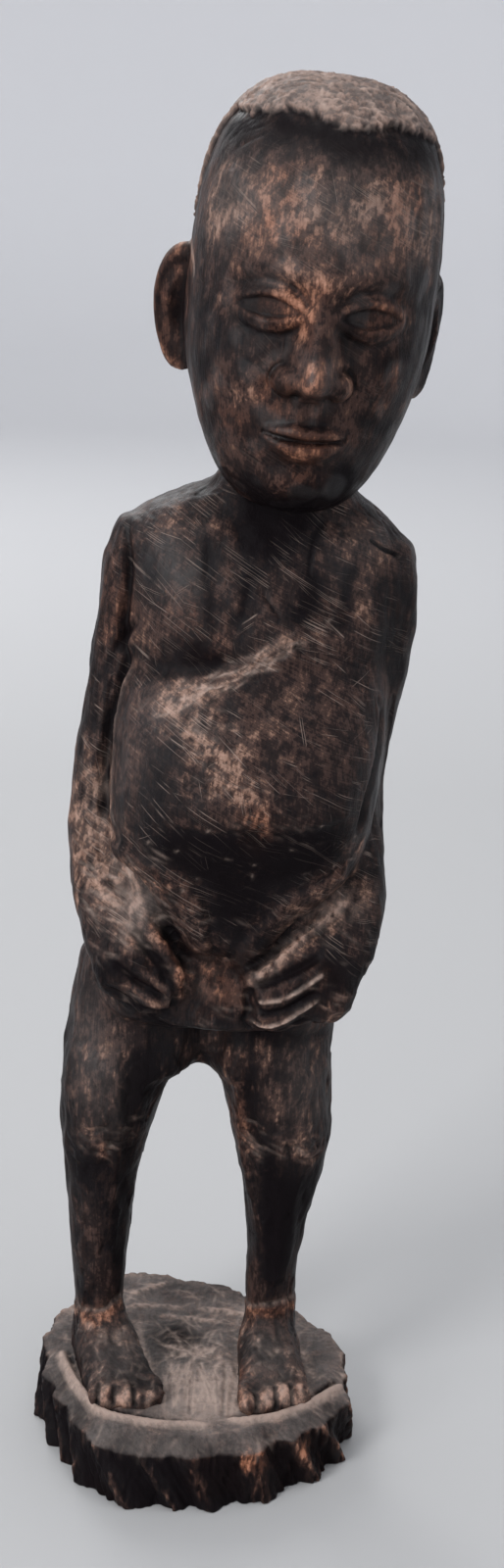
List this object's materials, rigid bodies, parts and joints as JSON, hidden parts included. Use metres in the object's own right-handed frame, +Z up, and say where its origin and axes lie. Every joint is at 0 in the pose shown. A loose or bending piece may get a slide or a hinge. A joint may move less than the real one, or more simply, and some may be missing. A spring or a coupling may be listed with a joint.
{
  "type": "carved standing figure",
  "caption": "Standing man carved with his round natural-edge base from one length of dark ebony, hands resting on his lap under a full belly",
  "frame": {"origin": "the middle of the flat underside of the base, which stands on the surface", "axes": "+Z is up along the figure, -Y is the way the figure faces, +X is the viewer's right when facing it"},
  "size_m": [0.08, 0.0726, 0.3002],
  "materials": {
    "ebony": "semi-matt hand-carved ebony, dark brown to black with red-brown streaks, light dust in the cuts"
  },
  "bodies": {
    "root": {"carved_figure": "ebony"}
  },
  "joints": []
}
